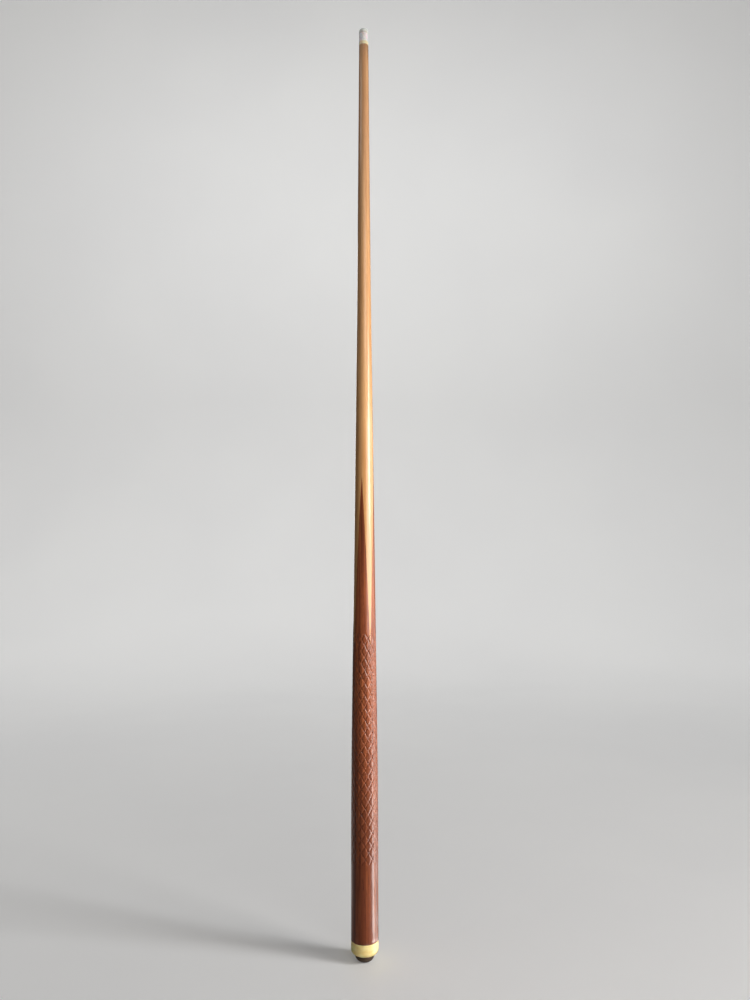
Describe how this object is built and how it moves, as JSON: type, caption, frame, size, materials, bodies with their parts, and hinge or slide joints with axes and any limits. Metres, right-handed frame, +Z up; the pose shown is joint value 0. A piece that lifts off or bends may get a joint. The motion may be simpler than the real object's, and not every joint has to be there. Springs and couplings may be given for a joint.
{
  "type": "billiard cue",
  "caption": "Short one-piece billiard cue: domed tip, white ferrule, pale tapered shaft spliced into a red-brown butt, ivory cap and rubber bumper on a screw.",
  "frame": {"origin": "centre of the bumper's foot, on the surface that the cue stands on", "axes": "+Z up the cue's axis, from the foot to the tip; -Y towards the viewer of the splice's light point that lies 30 degrees to the right"},
  "size_m": [0.0304, 0.0302, 1.067],
  "materials": {
    "leather": "matt, chalked",
    "fibre": "matt vulcanised fibre",
    "white_plastic": "polished",
    "maple": "clear gloss lacquer",
    "red_hardwood": "clear gloss lacquer",
    "plain_steel": "plain turned",
    "dowel_wood": "bare",
    "ivory_plastic": "polished",
    "black_rubber": "matt moulded",
    "zinc_steel": "zinc plated"
  },
  "bodies": {
    "cue": {"cue_tip": "leather", "tip_pad": "fibre", "ferrule": "white_plastic", "shaft": "maple", "butt": "red_hardwood", "weight_slug": "plain_steel", "bore_plug": "dowel_wood", "butt_cap": "ivory_plastic", "bumper": "black_rubber"},
    "washer": {"bumper_washer": "zinc_steel"},
    "screw": {"bumper_screw": "zinc_steel"}
  },
  "joints": [
    {"name": "screw_backout", "type": "slide", "parent": "cue", "child": "washer", "axis": [0, 0, -1], "range_m": [0, 0.0136]},
    {"name": "screw_turn", "type": "hinge", "parent": "washer", "child": "screw", "pos_m": [0, 0, 0.0161], "axis": [0, 0, -1], "range_deg": [0, 2721]}
  ],
  "couplings": [
    {"joint": "screw_turn", "follows": "screw_backout", "rad_per_m": 3490.7}
  ]
}
